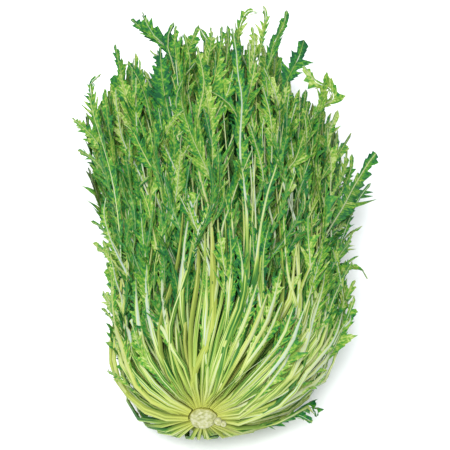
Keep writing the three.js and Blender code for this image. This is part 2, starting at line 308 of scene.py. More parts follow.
# The top of the bunch's outline in the photograph, in pixels, and how far from it
# leaves end: above it and below it.
TOP_OUTLINE = [
    (84, 150), (88, 98), (106, 88), (117, 72), (128, 60), (146, 52), (160, 50),
    (172, 40), (190, 35), (212, 30), (246, 22), (274, 40), (282, 66), (290, 88),
    (303, 98), (322, 106), (338, 128), (350, 158), (354, 200), (358, 262), (372, 320),
]
OUTLINE_ROOM = (-5, 14)


def smooth(t):
    t = np.clip(t, 0, 1)
    return t * t * (3 - 2 * t)


def mix(a, b, t):
    return a + (b - a) * t


def unit(v):
    return v / np.maximum(np.linalg.norm(v, axis=-1, keepdims=True), 1e-12)


def chance(leaf, trait):
    """A repeatable random number from 0 to 1 for one trait of one leaf."""
    wave = math.sin(leaf * 12.9898 + trait * 78.233 + SEED) * 43758.5453
    return wave - math.floor(wave)


def between(leaf, trait, low, high):
    return mix(low, high, chance(leaf, trait))


def settle(x, along, up):
    lift = CROWN_LIFT * (1 - smooth(along / LIFT_REACH))
    below = np.maximum(0, -up - ROOT_RADIUS - STALK_DEPTH)
    bulge = BACK_BULGE * (1 - smooth(abs(x - BULGE_MIDDLE) / BULGE_WIDTH))
    lean = (CROWN_LEAN * up - bulge * below) * (1 - smooth(along / LEAN_REACH))
    return np.stack(np.broadcast_arrays(x, along + lean, up + lift), axis=-1)


def root_radius(share):
    return mix(HEART_RADIUS, ROOT_RADIUS + TOUCH_GAP, share)


def root_along(share):
    return (CROWN_LENGTH - HEART_LENGTH) * (1 - share)


def spot(s, phi, share):
    """The point at distance s along a stalk, at angle phi, in the shell of that share."""
    turn = np.minimum(s / BOWL_DEPTH, QUARTER)
    spread = np.sin(turn)
    beyond = np.maximum(0, s - BOWL_PATH)
    far = beyond / BRUSH_LENGTH
    start = root_along(share)
    along = start + (BOWL_DEPTH - start) * (1 - np.cos(turn)) + beyond
    foot = root_radius(share)
    flare = 1 + FLARE * smooth(far / FLARE_END)
    wide = mix(foot, share * HALF_WIDTH * flare, spread)
    eased = smooth((far - EASE_RANGE[0]) / (EASE_RANGE[1] - EASE_RANGE[0]))
    x = np.cos(phi) * wide + BOW * smooth(s / BOW_REACH) * (1 - BOW_EASE * eased)
    lean = np.sin(phi)
    rise = lean * mix(foot, share * RISE * (1 - SAG * far), spread)
    low = np.minimum(lean, 0)
    flat = 1 - (1 + low) ** UNDERSIDE
    drop = mix(-low * foot, flat * share * DROP, spread)
    return settle(x, along, np.where(lean >= 0, rise, -drop))


def leaf_line(leaf, s):
    """The angle and the shell that a leaf follows at distance s."""
    fanned = smooth(s / FAN_OUT)
    clump = CLUMPING * math.sin(CLUMPS * leaf.phi + leaf.ring.share * CLUMP_STEP)
    sway = SWAY * np.sin(s / SWAY_LENGTH + leaf.ring.share * SWAY_STEP)
    phi = (
        mix(leaf.foot_phi, leaf.phi, fanned)
        + leaf.ring.turn * smooth(s / (BOWL_PATH + BRUSH_LENGTH))
        + clump * fanned
        + sway * smooth(s / FAN_OUT - 1)
    )
    parted = smooth((s - LAYER_START) / (BOWL_PATH - LAYER_START))
    apart = leaf.side * LAYER * LAYER_PART * parted
    if leaf.emerges:
        return phi, leaf.share + leaf.emerges * smooth((s - leaf.rises_from) / RISE_LENGTH)
    outside = np.maximum(0, (s - STRAY_START) / (leaf.length - STRAY_START))
    return phi, leaf.share + apart + leaf.away * outside**STRAY_CURVE


def arc_at(phi, share):
    """How far from the root a tip at that angle of a shell may be."""
    x = math.cos(phi) * share * HALF_WIDTH * (1 + FLARE) + BOW * (1 - BOW_EASE)
    lean = math.sin(phi)
    up = lean * share * (RISE * (1 - SAG) if lean > 0 else DROP)
    aside = min(1, abs(x - ARC_MIDDLE) / ARC_HALF_WIDTH)
    return ARC_LENGTH - ARC_DROP * aside**ARC_CURVE - ARC_TILT * up


def plan_leaf(ring, shoot, k, number):
    """A leaf of the solids: its place and length are theirs, and its blade is finer."""
    pitch = 2 * math.pi / (ring.shoots * ring.leaves)
    place = shoot * ring.leaves + k
    from_middle = k - (ring.leaves - 1) / 2
    foot_step = FOOT_STEP / root_radius(ring.share)
    phi = (place + PLACE_SPREAD * (chance(number, 2) - 0.5)) * pitch
    drawn = mix(*ring.reach, chance(number, 1))
    away, tip_at = STRAYS.get(number, (0, min(drawn, arc_at(phi + ring.turn, ring.share))))
    length = tip_at - BOWL_DEPTH + BOWL_PATH
    return SimpleNamespace(
        ring=ring,
        number=number,
        share=ring.share,
        side=1 if place % 2 else -1,
        away=away,
        length=length,
        phi=phi,
        foot_phi=(place - from_middle) * pitch + from_middle * foot_step,
        blade_start=length * mix(*BLADE_START, chance(number, 3)) * BLADE_EARLIER,
        reach=LOBE_REACH * between(number, 4, 0.8, 1.1) * mix(0.85, 1, ring.share),
        width=1.0,
        emerges=0,
        line=None,
    )


def trace(rows, solid=None, **common):
    """Leaves that follow rows of a table, with the traits that they have in common.

    One with a solid's number takes that leaf's foot and stands in its place.
    """
    for blade, reach, traits, *pixels in rows:
        number = FIRST_TRACED + len(traced_leaves) if solid is None else solid
        if solid is None:
            leaf = SimpleNamespace(number=number, share=1.0, ring=RINGS[0], emerges=0, width=1.0)
            leaf.phi, leaf.foot_phi = QUARTER, None
        else:
            leaf = plan_leaf(RINGS[0], solid // 3, solid % 3, solid)
        leaf.reach = TRACED_REACH
        add_character(leaf)
        leaf.plain = False
        leaf.pixels = pixels
        leaf.blade = blade
        leaf.leaflets = between(number, 50, *TRACED_LEAFLETS)
        leaf.twist *= TRACED_TWIST
        leaf.share = TRACED_SHARE
        leaf.deep = TRACED_SHARE
        leaf.rib = between(number, 44, *RIB_TONES)
        leaf.raised = between(number, 47, *RAISED)
        if reach:
            leaf.reach = reach
        for trait, value in {**common, **traits}.items():
            setattr(leaf, trait, value)
        leaf.line = traced_spine(leaf)
        traced_leaves.append(leaf)


def plan_extra(ring, shoot, k, number):
    """A slighter leaf that fills the room between two of the solids' leaves."""
    leaf = plan_leaf(ring, shoot, k, number)
    pitch = 2 * math.pi / (ring.shoots * ring.leaves)
    leaf.phi += pitch * between(number, 10, *EXTRA_TURN)
    leaf.foot_phi += pitch * between(number, 16, *EXTRA_FOOT_TURN)
    leaf.share *= between(number, 11, *EXTRA_SHARE)
    leaf.length *= between(number, 12, *EXTRA_LENGTH)
    leaf.blade_start = leaf.length * between(number, 13, *EXTRA_START)
    leaf.reach *= between(number, 14, *EXTRA_REACH)
    leaf.width = between(number, 15, *EXTRA_WIDTH)
    leaf.away = 0
    if ring.share == 1 and chance(number, 17) < OVER_CHANCE and math.sin(leaf.phi) > UNDER:
        leaf.share = OVER_SHARES[0]
        leaf.emerges = between(number, 18, *OVER_SHARES[1:]) - leaf.share
        leaf.blade_start = between(number, 19, *OVER_STARTS)
        leaf.rises_from = leaf.blade_start - RISE_LENGTH
    return leaf


def plan_spray(group, number):
    """A short leaf that comes out between the stalks, mostly at the bunch's sides."""
    leaf = plan_leaf(RINGS[0], 0, 0, number)
    aside = between(number, 20, *group.sides)
    leaf.phi = QUARTER + math.copysign(SPRAY_SPREAD * abs(aside) ** SPRAY_CROWDING, aside)
    leaf.foot_phi = leaf.phi
    leaf.share = SPRAY_SHARES[0]
    leaf.emerges = between(number, 21, *SPRAY_SHARES[1:]) - leaf.share
    leaf.length = between(number, 22, *group.lengths)
    leaf.rises_from = leaf.length - SPRAY_RISES * RISE_LENGTH
    leaf.blade_start = leaf.length - between(number, 23, *SPRAY_BLADE)
    leaf.reach = between(number, 24, *SPRAY_REACH)
    leaf.width = SPRAY_WIDTH
    add_character(leaf)
    leaf.pitch = max(LEAST_PITCH, leaf.pitch * SPRAY_PITCH)
    leaf.leaflets = 1
    leaf.tone -= SPRAY_DARKER
    return leaf


def add_character(leaf):
    """How a leaf bends, twists, curls and is coloured."""
    n = leaf.number
    for trait, drawn in CHARACTER.items():
        setattr(leaf, trait, between(n, *drawn))
    leaf.tone = DARK_LEAVES.get(n, leaf.tone)
    leaf.gold = max(0, between(n, 54, *GOLD_RANGE))
    leaf.vein = chance(n, 46) ** VEIN_RARITY
    kind = LEAF_KINDS[np.searchsorted(KIND_ENDS, chance(n, 49))]
    leaf.sinus = between(n, 39, *kind.sinus)
    leaf.pitch = between(n, 40, *kind.pitch)
    leaf.sweep = between(n, 42, *kind.sweep)
    leaf.reach *= kind.reach
    leaf.leaflets = between(n, 41, *LEAFLETS)
    leaf.rib = between(n, 45, *RIB_TONES)
    leaf.slender = TIP_SLENDER
    leaf.uneven = between(n, 53, *UNEVEN)
    leaf.plain = leaf.share < INNER_SHARE or math.sin(leaf.phi) < UNDER
    if math.sin(leaf.phi) < UNDER:
        leaf.pitch *= UNDER_PITCH
    if leaf.share < INNER_SHARE:
        leaf.pitch *= INNER_PITCH
        leaf.blade_start = leaf.length * between(n, 43, *INNER_START)
        leaf.leaflets = INNER_LEAFLETS
    return leaf


def spine(leaf):
    """A leaf's centre line and directions, cut short where it would pass the outline."""
    line = whole_spine(leaf)
    across, down, _ = view.pixels(line[1])
    edge = np.interp(across, *np.transpose(TOP_OUTLINE)) + between(leaf.number, 48, *OUTLINE_ROOM)
    outside = np.flatnonzero((down < edge) & (line[0] > leaf.length / 2))
    if leaf.away > 0 or not len(outside):
        return line
    shorter = line[0][outside[0]] / leaf.length
    leaf.length *= shorter
    leaf.blade_start *= shorter
    return whole_spine(leaf)


def whole_spine(leaf):
    """A leaf's centre line and its forward, outward and sideways directions."""
    s = np.arange(0, leaf.length + SPINE_STEP, SPINE_STEP)
    phi, share = leaf_line(leaf, s)
    at = spot(s, phi, share)
    around = spot(s, phi + TURN_STEP, share) - spot(s, phi - TURN_STEP, share)
    forward = unit(np.gradient(at, s, axis=0))
    outward = unit(np.cross(forward, around))
    across = np.cross(outward, forward)
    past = s - BOWL_PATH * BENDS_FROM
    grown = smooth(past / BENDS_GROW)
    slope = grown * (leaf.drift + leaf.slope * np.sin(past / leaf.bend_length + leaf.bend_phase))
    sideways = SWERVE * np.tanh(np.cumsum(slope) * SPINE_STEP / SWERVE)
    bent = np.clip((s - BOWL_PATH) / (leaf.length - BOWL_PATH), 0, 1)
    lift = leaf.curl * np.clip((bent - CURL_FROM) / (1 - CURL_FROM), 0, 1) ** 2
    lift = lift + NOD * grown * np.sin(past / NOD_LENGTH + leaf.bend_phase * 2)
    at = at + across * sideways[:, None] + outward * lift[:, None]
    flare = 1 + FLARE * smooth((s - BOWL_PATH) / BRUSH_LENGTH / FLARE_END)
    middle = spot(s, QUARTER, share)[:, 0]
    aside = at[:, 0] - middle
    most = HALF_WIDTH * flare * leaf.edge - EDGE_ROOM
    over = np.maximum(np.abs(aside) - most, 0) * (s > BOWL_PATH) * (leaf.away == 0)
    at[:, 0] -= np.sign(aside) * (over - EDGE_ROOM * np.tanh(over / EDGE_ROOM / 2))
    twist = leaf.twist * smooth(bent * TWIST_PACE)
    return turned_line(s, at, outward, twist)


class View:
    """The photograph's camera, which lays a point of the bunch on a pixel."""

    def __init__(self):
        self.aim = settle(0.0, -ROOT_STUB - CUT_BULGE, 0.0) + np.array(AIM_FROM_CROWN)
        cosine, sine = math.cos(CAMERA_ELEVATION), math.sin(CAMERA_ELEVATION)
        self.back = np.array((0, -cosine, sine))
        self.right = np.array((1, 0, 0))
        self.up = np.array((0, sine, cosine))
        self.level = np.array((0, 1 / sine, 0))
        self.eye = self.aim + self.back * CAMERA_DISTANCE
        self.pixels_per_slope = CAMERA_DISTANCE / MM_PER_PIXEL

    def pixels(self, points):
        """Across, down and distance from the camera."""
        apart = points - self.eye
        distance = -apart @ self.back
        across = PHOTO_PIXELS / 2 + apart @ self.right / distance * self.pixels_per_slope
        down = PHOTO_PIXELS / 2 - apart @ self.up / distance * self.pixels_per_slope
        return across, down, distance

    def shell_point(self, pixel, share):
        """The point of a shell under a pixel, or beside its outline, and its s and phi."""
        s = np.arange(0, 420, 3.0)[:, None]
        phi = np.arange(-QUARTER, 3 * QUARTER, 0.02)[None, :]
        shell = spot(s, phi, share)
        across, down, distance = self.pixels(shell)
        off = np.hypot(across - pixel[0], down - pixel[1])
        cost = distance + np.where(off < off.min() + 2, 0, 1e6)
        row, column = np.unravel_index(np.argmin(cost), cost.shape)
        point = shell[row, column]
        scale = distance[row, column] / self.pixels_per_slope
        point = point + self.right * (pixel[0] - across[row, column]) * scale
        point = point + self.level * (down[row, column] - pixel[1]) * scale
        return point, s[row, 0], phi[0, column]


view = View()


def through(points, step):
    """A smooth line through points, as dense points."""
    padded = np.concatenate([2 * points[:1] - points[1:2], points, 2 * points[-1:] - points[-2:-1]])
    pieces = []
    for before, start, end, after in zip(padded, padded[1:], padded[2:], padded[3:]):
        count = max(2, round(np.linalg.norm(end - start) / step))
        t = (np.arange(count) / count)[:, None]
        pieces.append(
            start
            + t * (end - before) / 2
            + t**2 * (before - 2.5 * start + 2 * end - after / 2)
            + t**3 * (1.5 * (start - end) + (after - before) / 2)
        )
    return np.concatenate(pieces + [points[-1:]])


def traced_spine(leaf):
    """A centre line through pixels of the photograph, rooted in the crown."""
    rises = leaf.raised * np.linspace(0, 1, len(leaf.pixels)) ** RAISE_CURVE
    found = [view.shell_point(pixel, leaf.share + r) for pixel, r in zip(leaf.pixels, rises)]
    first_s, leaf.phi = found[0][1], found[0][2]
    if leaf.foot_phi is None:
        leaf.foot_phi = leaf.phi
    turn = (leaf.phi - leaf.foot_phi + math.pi) % (2 * math.pi) - math.pi
    stations = np.arange(0, max(first_s - HIDDEN_GAP, 1), HIDDEN_STEP)
    share = mix(leaf.deep, leaf.share, smooth((stations - first_s) / SURFACING + 1))
    root = spot(stations, leaf.foot_phi + turn * smooth(stations / max(first_s, 1)), share)
    points = np.concatenate([root, np.array([point for point, _, _ in found])])
    at = through(points, SPINE_STEP)
    s = np.concatenate([[0], np.cumsum(np.linalg.norm(np.diff(at, axis=0), axis=1))])
    knots = [s[np.argmin(np.linalg.norm(at - point, axis=1))] for point in points]
    normals = []
    for knot_s, knot_phi in [(x, leaf.phi) for x in stations] + [f[1:] for f in found]:
        along = spot(knot_s + 1, knot_phi, leaf.share) - spot(knot_s - 1, knot_phi, leaf.share)
        around = spot(knot_s, knot_phi + TURN_STEP, leaf.share)
        around = around - spot(knot_s, knot_phi - TURN_STEP, leaf.share)
        normals.append(unit(np.cross(along, around)))
    normals = np.array(normals)
    outward = np.stack([np.interp(s, knots, normals[:, axis]) for axis in range(3)], axis=1)
    leaf.length = s[-1]
    leaf.blade_start = leaf.length - leaf.blade
    line = turned_line(s, at, unit(outward), 0)
    facing = np.arctan2(line[4] @ view.back, line[3] @ view.back)[s > leaf.blade_start - 1].mean()
    twist = leaf.twist + TRACED_FACING * facing
    return turned_line(s, at, unit(outward), twist * smooth(s / leaf.length * 2 - 0.6))


def turned_line(s, at, outward, twist):
    """Squares the directions of a centre line and turns them about it."""
    forward = unit(np.gradient(at, s, axis=0))
    outward = unit(outward - forward * (outward * forward).sum(axis=1, keepdims=True))
    across = np.cross(outward, forward)
    twist = np.broadcast_to(twist, s.shape)[:, None]
    turned = outward * np.cos(twist) + across * np.sin(twist)
    return s, at, forward, turned, np.cross(turned, forward)


def along_spine(line, stations):
    """The centre line and directions at other distances."""
    picked = []
    for part in line[1:]:
        columns = [np.interp(stations, line[0], part[:, axis]) for axis in range(3)]
        picked.append(np.stack(columns, axis=1))
    return picked[0], unit(picked[1]), unit(picked[2]), unit(picked[3])


def painted_shade_depth(at, share):
    """How open to the light a leaf lies, for painted shade: 0 deep in the bunch, 1 on its outside."""
    along = at[:, 1]
    cover = 1 - TIP_COVER * smooth((along - COVER_STARTS) / (COVER_ENDS - COVER_STARTS))
    open_share = smooth((share / cover - DEEP_SHARE) / (1 - DEEP_SHARE))
    return mix(1, open_share, smooth((along - CROWN_LENGTH / 2) / CROWN_LENGTH))


class Skin:
    """Grids of four-sided faces, gathered into one mesh with their traits."""

    def __init__(self):
        self.points = []
        self.faces = []
        self.traits = []
        self.count = 0

    def add_grid(self, grid, traits):
        """Rows of points, each row closed round and both ends capped."""
        rows, columns = grid.shape[:2]
        index = self.count + np.arange(rows * columns).reshape(rows, columns)
        self.points.append(grid.reshape(-1, 3))
        self.traits.append(traits.reshape(rows * columns, -1))
        self.count += rows * columns
        index = np.concatenate([index, index[:, :1]], axis=1)
        a, b = index[:-1, :-1], index[:-1, 1:]
        c, d = index[1:, 1:], index[1:, :-1]
        self.faces.append(np.stack([a, b, c, d], axis=-1).reshape(-1, 4))
        for row, ahead in ((0, -1), (rows - 1, 1)):
            self.add_fan(index[row, :-1][::ahead], grid[row], traits[row])

    def add_fan(self, ends, points, traits):
        """Closes a round end with a middle point."""
        self.points.append(points.mean(axis=0, keepdims=True))
        self.traits.append(traits.mean(axis=0, keepdims=True))
        following = np.roll(ends, -1)
        middle = np.full(len(ends), self.count)
        self.count += 1
        self.faces.append(np.stack([middle, ends, following, following], axis=1))

    def make(self, name, material):
        points = np.concatenate(self.points) + shift
        low = np.minimum(points[:, 2], PRESSED)
        points[:, 2] += PRESSED * np.exp(low / PRESSED - 1) - low
        points *= 0.001
        faces = np.concatenate(self.faces)
        traits = np.concatenate(self.traits)
        three = faces[:, 2] == faces[:, 3]
        sizes = np.where(three, 3, 4)
        keep = np.ones_like(faces, bool)
        keep[three, 3] = False
        corners = faces[keep]
        mesh = bpy.data.meshes.new(name)
        mesh.vertices.add(len(points))
        mesh.vertices.foreach_set("co", points.ravel())
        mesh.loops.add(len(corners))
        mesh.loops.foreach_set("vertex_index", corners)
        mesh.polygons.add(len(faces))
        starts = np.concatenate([[0], np.cumsum(sizes)[:-1]])
        mesh.polygons.foreach_set("loop_start", starts)
        mesh.polygons.foreach_set("loop_total", sizes)
        mesh.polygons.foreach_set("use_smooth", np.ones(len(faces), bool))
        for column, trait in enumerate(TRAITS):
            layer = mesh.attributes.new(trait, "FLOAT", "POINT")
            layer.data.foreach_set("value", traits[:, column].copy())
        grain = mesh.uv_layers.new(name="grain")
        grain.data.foreach_set("uv", traits[corners, len(TRAITS) :].ravel())
        mesh.update(calc_edges=True)
        mesh.validate()
        mesh.set_sharp_from_angle(angle=SHARP_ANGLE)
        mesh.materials.append(material)
        piece = bpy.data.objects.new(name, mesh)
        bpy.context.collection.objects.link(piece)
        return piece


def trait_grid(shape, **values):
    """The traits of a grid of points, each value spread over its shape."""
    traits = np.zeros(shape + (len(TRAITS) + 2,))
    for column, trait in enumerate(TRAITS + ("grain_along", "grain_across")):
        if trait in values:
            traits[..., column] = values[trait]
    return traits


def stalk_half_width(leaf, stations):
    width = mix(FOOT_HALF_WIDTH, STALK_HALF_WIDTH * leaf.width, smooth(stations / FOOT_LENGTH))
    past = (stations - RIB_FROM) / (leaf.length - RIB_FROM)
    return width * mix(1, RIB_WIDTH, smooth(past * RIB_PACE)) * mix(1, TIP_WIDTH, smooth(past))


def add_stalk(skin, leaf):
    """The ridged stalk, which goes on as the rib of the blade."""
    rows = PLAIN_ROWS if leaf.plain else STALK_ROWS
    bowl = np.linspace(0, BOWL_PATH, rows // 3)
    rest = np.linspace(BOWL_PATH, leaf.length, rows - rows // 3 + 1)[1:]
    stations = np.concatenate([bowl, rest])
    at, _, outward, across = along_spine(leaf.line, stations)
    part = stations / leaf.length
    width = stalk_half_width(leaf, stations)
    depth = mix(STALK_DEPTH * min(1, leaf.width), TIP_DEPTH, smooth(part * DEPTH_PACE))
    sides = TUBE_SIDES - 2 if leaf.plain or leaf.emerges else TUBE_SIDES
    angle = np.linspace(0, 2 * math.pi, sides, endpoint=False)
    ridge = 1 + RIDGE_HEIGHT * np.cos(angle * RIDGES + leaf.number)
    sideways = np.cos(angle) * ridge
    height = np.where(np.sin(angle) > 0, np.sin(angle) * ridge, np.sin(angle) * BACK_DEPTH)
    grid = (
        at[:, None, :]
        + across[:, None, :] * (width[:, None] * sideways)[..., None]
        + outward[:, None, :] * (depth[:, None] * height)[..., None]
    )
    # Painted shade: a stalk is darker at its sides, where it meets its neighbours, and in the grooves
    # between its ridges.
    painted_side_and_groove_shade = np.abs(np.sin(angle)) + GROOVE_SHADE * np.cos(angle * RIDGES + leaf.number)
    traits = trait_grid(
        grid.shape[:2],
        pale=mix(1.0, TIP_PALE, smooth((part - PALE_FROM) / (1 - PALE_FROM)))[:, None],
        tone=mix(leaf.tone, leaf.rib, smooth((part - 0.3) / 0.3))[:, None],
        stripe=painted_side_and_groove_shade[None, :],
        depth=painted_shade_depth(at, leaf.share)[:, None],
        warm=np.maximum(1 - smooth(stations / WARM_FOOT), leaf.gold)[:, None],
        grain_along=stations[:, None] * STALK_GRAIN[0],
        grain_across=np.abs(angle - math.pi)[None, :] * STALK_GRAIN[1] + leaf.number * 10,
    )
    skin.add_grid(grid, traits)


def lobe_edges(leaf, hand):
    """Where each lobe or leaflet of one side begins and ends."""
    start = leaf.blade_start * leaf.leaflets
    count = max(FEWEST_LOBES, round((leaf.length - start) / leaf.pitch))
    draws = [300 + lobe * 2 + hand for lobe in range(count)]
    widths = np.array([between(leaf.number, draw, *LOBE_WIDTHS) for draw in draws])
    ends = np.cumsum(widths) / widths.sum()
    return start + (leaf.length - start) * np.concatenate([[0], ends])


def lobe_outline(leaf, hand):
    """Stations along one side of a blade and how far its edge reaches from the rib."""
    edges = lobe_edges(leaf, hand)
    plain, full = np.array(PLAIN_LOBE), np.array(LOBE_SHAPE)
    stations, reaches, veins, lucks = [], [], [], []
    for lobe, (low, high) in enumerate(zip(edges, edges[1:])):
        luck = chance(leaf.number, 100 + lobe * 2 + hand)
        part = ((low + high) / 2 - leaf.blade_start) / (leaf.length - leaf.blade_start)
        outline = plain if leaf.plain or part < 0 or high - low < FINE_LOBE else full
        if part < 0:
            outline = outline[:1] if luck < LEAFLET_CHANCE else outline
            most = LEAFLET_REACH[1] * max(0, luck - LEAFLET_CHANCE) + LEAFLET_REACH[0]
            sinus = 0.0
        else:
            bell = math.sin(math.pi * min(1, part**BELL_LEAN)) ** 0.5
            most = (LEAST_REACH + leaf.reach * bell) * mix(*LOBE_LUCK, luck)
            sinus = mix(leaf.sinus, TIP_SINUS, smooth((part - 0.62) / 0.3))
        most *= 1 + leaf.uneven * hand
        most = min(most, (leaf.length - mix(low, high, 0.4)) * leaf.slender)
        stations.append(mix(low, high, outline[:, 0]))
        reaches.append(most * (sinus + (1 - sinus) * outline[:, 1]))
        veins.append((outline[:, 1] == 1) * min(1, most / VEINED_REACH))
        lucks.append(np.full(len(outline), luck))
    stations = np.concatenate(stations + [[leaf.length]])
    reaches = np.concatenate(reaches + [[TIP_REACH]])
    return stations, reaches, np.concatenate(veins + [[0]]), np.concatenate(lucks + [[0.5]])


def add_blade(skin, leaf, hand):
    """One side of a blade: a thin closed sheet with swept lobes and a waved edge."""
    stations, reach, vein, luck = lobe_outline(leaf, hand)
    at, forward, outward, across = along_spine(leaf.line, stations)
    part = stations / leaf.length
    inner = RIB_PART * stalk_half_width(leaf, stations)
    column = np.array(BLADE_COLUMNS)[None, :]
    reach = np.minimum(reach, (leaf.length - stations) * leaf.slender * 1.5 + 0.1)
    out = np.maximum(reach, inner * 1.2)[:, None] - inner[:, None]
    sideways = inner[:, None] + out * column
    swept = np.minimum(reach * leaf.sweep, (leaf.length - stations) * SWEEP_ROOM)
    sweep = swept[:, None] * column**SWEEP_CURVE
    wave = np.sin(stations / WAVE_LENGTH + leaf.bend_phase + hand)[:, None]
    slow = np.sin(stations / SLOW_WAVE_LENGTH + leaf.number * 2 + hand * 1.3)[:, None]
    edge = (out / leaf.reach) * column**WAVE_CURVE
    height = leaf.fold * out * column + leaf.ripple * (0.5 * wave + slow) * edge
    height = height + (luck[:, None] - 0.5) * LOBE_LIFT * edge**2
    height = height + SEAT_HEIGHT * mix(STALK_DEPTH, TIP_DEPTH, smooth(part))[:, None]
    surface = (
        at[:, None, :]
        + across[:, None, :] * (hand * sideways)[..., None]
        + forward[:, None, :] * sweep[..., None]
        + outward[:, None, :] * height[..., None]
    )
    # Painted light and shade: a blade is lighter where its waves rise and darker where they dip, on top
    # of its tone at random.
    blade_tone_and_wave_shade = leaf.tone + TONE_AND_SHADE_SPREAD * (luck[:, None] - 0.5) + TONE_AND_SHADE_SPREAD * wave * column
    half = BLADE_THICKNESS / 2 * outward
    above, below = surface[:, 1] + half, surface[:, 1] - half
    grid = np.stack([surface[:, 0], above, surface[:, 2], below], axis=1)
    pale = EDGE_PALE * np.clip(1 - column * out / PALE_WIDTH, 0, 1) ** 2
    traits = trait_grid(
        surface.shape[:2],
        pale=np.maximum(pale, vein[:, None] * mix(*VEIN_PALE, leaf.vein) * (1 - column) ** VEIN_FADE),
        tone=mix(mix(leaf.rib, blade_tone_and_wave_shade, 0.5), blade_tone_and_wave_shade, smooth(column * 3)),
        stripe=column,
        depth=painted_shade_depth(at, leaf.share)[:, None],
        grain_along=stations[:, None] * BLADE_GRAIN[0],
        grain_across=out * column * BLADE_GRAIN[1] + leaf.number * 10,
    )
    traits = traits[:, [0, 1, 2, 1]]
    if hand > 0:
        grid = grid[:, ::-1]
        traits = traits[:, ::-1]
    skin.add_grid(grid, traits)


def add_leaf(skin, leaf):
    if leaf.line is None:
        leaf.line = spine(leaf)
    add_stalk(skin, leaf)
    if leaf.blade_start < leaf.length:
        add_blade(skin, leaf, -1)
        add_blade(skin, leaf, 1)


def rough(points, size, height):
    """Bumps of about the given size on points, all in millimetres."""
    return np.array([noise.noise(Vector(point) / size) for point in points]) * height


def crown_skin():
    """The cut root end with its shoulders, and the two buds beside it."""
    skin = Skin()
    rows = [
        (0.3, -ROOT_STUB - 0.4), (2.5, -ROOT_STUB - 0.7), (4.5, -ROOT_STUB - 0.6),
        (6.2, -ROOT_STUB - CUT_BULGE), (7.4, -ROOT_STUB - 0.5), (8.6, -ROOT_STUB + 0.1),
        (ROOT_RADIUS, -ROOT_STUB + 1.2), (ROOT_RADIUS - 0.2, -2.5), (ROOT_RADIUS - 0.8, -1),
        (root_radius(0.9) - 1.5, 1), (root_radius(0.5) - 1, root_along(0.5) - 2),
        (root_radius(0.2) - 1.2, root_along(0.2)), (0.2, CROWN_LENGTH),
    ]
    profile = np.array(rows)
    fine = np.linspace(0, len(profile) - 1, 4 * len(profile))
    radius = np.interp(fine, np.arange(len(profile)), profile[:, 0])[:, None]
    along = np.interp(fine, np.arange(len(profile)), profile[:, 1])[:, None]
    angle = np.linspace(0, 2 * math.pi, CROWN_SIDES, endpoint=False)[None, :]
    lobed = 1
    for height, lobes, turn in CROWN_LOBES:
        lobed = lobed + height * np.sin(angle * lobes + turn)
    x, up = radius * lobed * np.cos(angle), radius * lobed * np.sin(angle)
    flat = np.stack([x, np.broadcast_to(along, x.shape), up], axis=-1).reshape(-1, 3)
    bumps = sum(rough(flat, *bump) for bump in CROWN_BUMPS)
    bumps = bumps.reshape(x.shape) * np.clip(radius / 2, 0, 1)
    grid = settle(x, along - bumps, up)
    traits = trait_grid(
        x.shape,
        tone=np.broadcast_to(radius / ROOT_RADIUS, x.shape),
        warm=np.broadcast_to(smooth((along + ROOT_STUB - 0.4) / 1.2), x.shape),
    )
    skin.add_grid(grid[:, ::-1], traits)
    for bud_x, bud_along, bud_up, bud_radius in SIDE_BUDS:
        polar = np.linspace(0.1, math.pi - 0.1, BUD_ROWS)[:, None]
        parts = (np.sin(polar) * np.cos(angle), -np.cos(polar), np.sin(polar) * np.sin(angle))
        ball = np.stack(np.broadcast_arrays(*parts), axis=-1)
        seat = settle(bud_x, bud_along, bud_up)
        bumps = rough(ball.reshape(-1, 3), *BUD_BUMPS).reshape(ball.shape[:2])
        traits = trait_grid(ball.shape[:2], tone=0.3)
        bud = seat + ball * (bud_radius * (1 + bumps))[..., None]
        skin.add_grid(bud[:, ::-1], traits)
    return skin


# Materials.


class Nodes:
    """A small helper to wire a material's nodes."""

    def __init__(self, name):
        self.material = bpy.data.materials.new(name)
        self.material.use_nodes = True
        self.tree = self.material.node_tree
        self.shader = self.tree.nodes["Principled BSDF"]

    def add(self, kind, **settings):
        node = self.tree.nodes.new(kind)
        for key, value in settings.items():
            setattr(node, key, value)
        return node

    def link(self, source, target):
        self.tree.links.new(source, target)

    def maths(self, operation, *values):
        node = self.add("ShaderNodeMath", operation=operation)
        for socket, value in zip(node.inputs, values):
            if isinstance(value, (int, float)):
                socket.default_value = value
            else:
                self.link(value, socket)
        return node.outputs[0]

    def weighted(self, terms, offset=0.0):
        """A sum of values times weights."""
        total = offset
        for value, weight in terms:
            total = self.maths("MULTIPLY_ADD", value, weight, total)
        return total

    def attribute(self, name):
        return self.add("ShaderNodeAttribute", attribute_name=name).outputs["Fac"]

    def noise(self, vector, scale, detail=2.0):
        node = self.add("ShaderNodeTexNoise")
        node.inputs["Scale"].default_value = scale
        node.inputs["Detail"].default_value = detail
        self.link(vector, node.inputs["Vector"])
        return node.outputs["Fac"]

    def ramp(self, value, stops):
        node = self.add("ShaderNodeValToRGB")
        elements = node.color_ramp.elements
        while len(elements) < len(stops):
            elements.new(0.5)
        for element, (place, colour) in zip(elements, stops):
            element.position = place
            element.color = (*colour, 1)
        self.link(value, node.inputs["Fac"])
        return node.outputs["Color"]

    def blend(self, factor, a, b):
        node = self.add("ShaderNodeMix", data_type="RGBA")
        for socket, value in zip((node.inputs[0], node.inputs[6], node.inputs[7]), (factor, a, b)):
            if isinstance(value, tuple):
                socket.default_value = (*value, 1)
            else:
                self.link(value, socket)
        return node.outputs[2]


